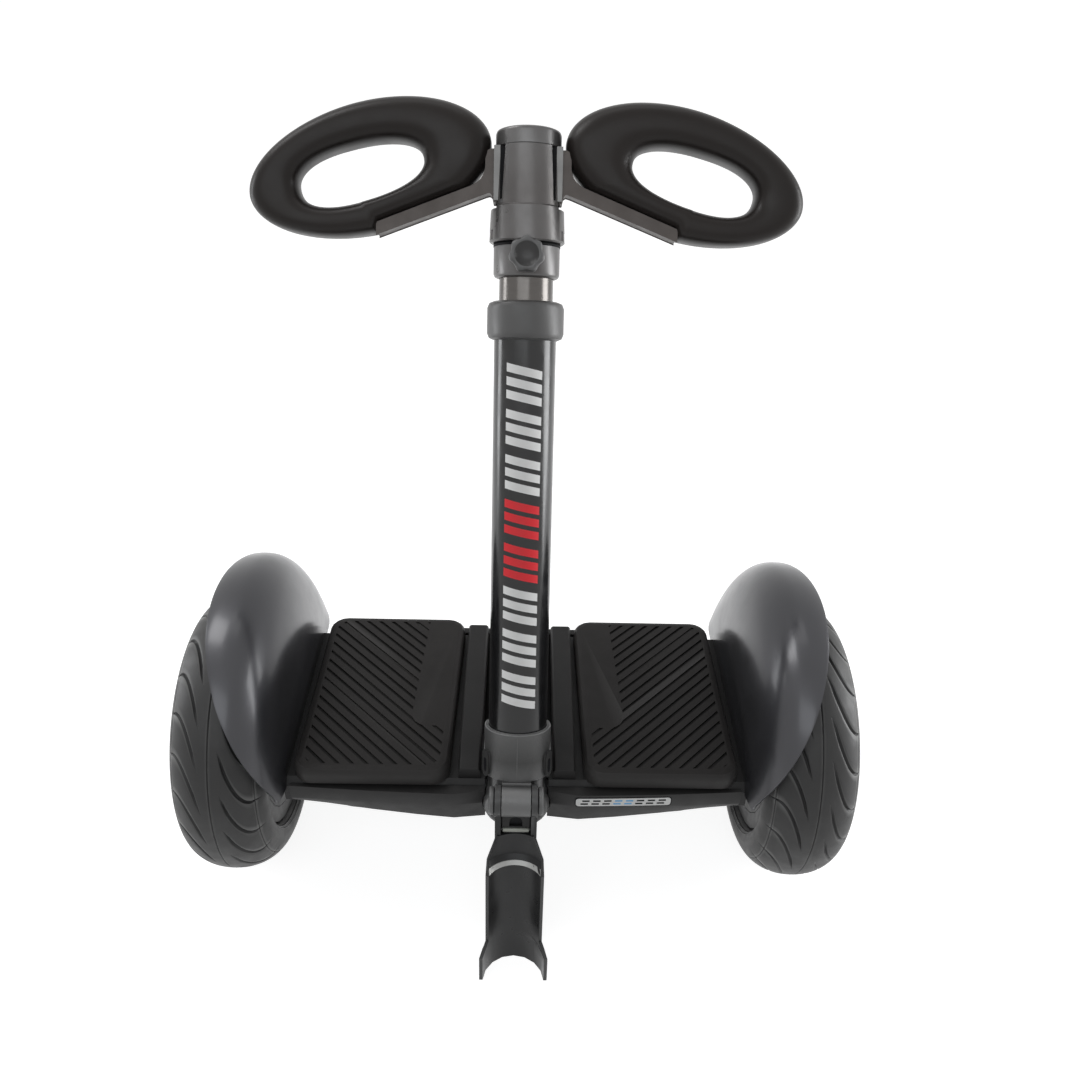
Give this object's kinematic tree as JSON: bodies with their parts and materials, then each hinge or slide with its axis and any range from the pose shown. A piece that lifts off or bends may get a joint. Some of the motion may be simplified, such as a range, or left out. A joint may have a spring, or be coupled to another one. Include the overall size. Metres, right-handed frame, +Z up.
{
  "type": "self balancing personal transporter",
  "caption": "Two-wheeled self-balancing transporter: motor wheels under fenders, a ribbed foot deck, a height-adjustable steering bar with padded knee loops and a fold-out latch lever.",
  "frame": {"origin": "on the floor, under the middle of the whole bounding box", "axes": "+X to the viewer's right across the deck and along the wheel axles, front towards -Y where the latch lever hangs, +Z up"},
  "size_m": [0.578, 0.3304, 0.651],
  "materials": {
    "satin_plastic": "satin",
    "fender_plastic": "satin",
    "tyre_rubber": "matte",
    "pad_rubber": "matte",
    "knee_foam": "matte",
    "cast_alloy": "satin",
    "painted_steel": "satin",
    "tube_black": "satin",
    "steel": "satin",
    "stator_iron": "matte",
    "battery_wrap": "satin",
    "board_green": "satin",
    "lamp_red": "gloss"
  },
  "bodies": {
    "chassis": {"lower_shell": "satin_plastic", "upper_shell": "satin_plastic", "left_bumper": "satin_plastic", "right_bumper": "satin_plastic", "rear_cover": "satin_plastic", "left_tail_lamp": "lamp_red", "right_tail_lamp": "lamp_red", "charge_port": "satin_plastic", "left_foot_pad": "pad_rubber", "right_foot_pad": "pad_rubber", "left_foot_sensor": "board_green", "right_foot_sensor": "board_green", "left_deck_trim": "satin_plastic", "right_deck_trim": "satin_plastic", "tunnel_cover": "satin_plastic", "left_fender": "fender_plastic", "right_fender": "fender_plastic", "left_axle": "steel", "right_axle": "steel", "left_stator": "stator_iron", "right_stator": "stator_iron", "left_axle_clamp": "cast_alloy", "right_axle_clamp": "cast_alloy", "battery_pack": "battery_wrap", "control_board": "board_green", "front_shaft_bearing": "steel", "rear_shaft_bearing": "steel", "front_bearing_block": "cast_alloy", "rear_bearing_block": "cast_alloy", "centring_spring": "steel"},
    "left_wheel": {"left_tyre": "tyre_rubber", "left_hub_shell": "cast_alloy", "left_motor_cover": "cast_alloy", "left_valve_stem": "pad_rubber", "left_wheel_bearing": "steel"},
    "right_wheel": {"right_tyre": "tyre_rubber", "right_hub_shell": "cast_alloy", "right_motor_cover": "cast_alloy", "right_valve_stem": "pad_rubber", "right_wheel_bearing": "steel"},
    "steering": {"steering_head": "painted_steel", "steering_socket": "painted_steel", "lower_tube": "tube_black"},
    "collar": {"clamp_collar": "pad_rubber"},
    "mast": {"inner_tube": "tube_black", "knob_sleeve": "cast_alloy", "head_housing": "cast_alloy", "head_cap": "cast_alloy", "left_pad_bracket": "cast_alloy", "right_pad_bracket": "cast_alloy", "left_knee_pad": "knee_foam", "right_knee_pad": "knee_foam"},
    "knob": {"star_knob": "satin_plastic"},
    "lever": {"latch_lever": "painted_steel", "latch_pin": "painted_steel", "catch_pin": "steel"},
    "catch": {"latch_catch": "satin_plastic"},
    "button": {"power_button": "cast_alloy"},
    "port_cap": {"charge_port_cap": "pad_rubber"}
  },
  "joints": [
    {"name": "left_wheel_spin", "type": "hinge", "parent": "chassis", "child": "left_wheel", "pos_m": [-0.25, 0.01301, 0.127], "axis": [1, 0, 0], "continuous": true},
    {"name": "right_wheel_spin", "type": "hinge", "parent": "chassis", "child": "right_wheel", "pos_m": [0.25, 0.01301, 0.127], "axis": [1, 0, 0], "continuous": true},
    {"name": "steering_lean", "type": "hinge", "parent": "chassis", "child": "steering", "pos_m": [0, 0.01301, 0.145], "axis": [0, 1, 0], "range_deg": [-8, 8], "stiffness_Nm_per_rad": 28},
    {"name": "height_slide", "type": "slide", "parent": "steering", "child": "mast", "axis": [0, 0.4368, 0.8996], "range_m": [-0.01, 0.22]},
    {"name": "collar_twist", "type": "hinge", "parent": "steering", "child": "collar", "pos_m": [0, -0.05899, 0.2115], "axis": [0, 0.4368, 0.8996], "range_deg": [0, 60]},
    {"name": "knob_turn", "type": "hinge", "parent": "mast", "child": "knob", "pos_m": [0, 0.07625, 0.5587], "axis": [0, -0.8996, 0.4368], "range_deg": [0, 360]},
    {"name": "lever_swing", "type": "hinge", "parent": "steering", "child": "lever", "pos_m": [0, -0.10979, 0.17558], "axis": [-1, 0, 0], "range_deg": [0, 196.5]},
    {"name": "catch_press", "type": "hinge", "parent": "lever", "child": "catch", "pos_m": [0, -0.11164, 0.14208], "axis": [-1, 0, 0], "range_deg": [0, 8], "stiffness_Nm_per_rad": 0.3},
    {"name": "button_press", "type": "slide", "parent": "chassis", "child": "button", "axis": [0, -1, 0], "range_m": [0, 0.002], "stiffness_N_per_m": 600},
    {"name": "port_cap_flip", "type": "hinge", "parent": "chassis", "child": "port_cap", "pos_m": [0.03, 0.11911, 0.157], "axis": [1, 0, 0], "range_deg": [0, 110]}
  ]
}
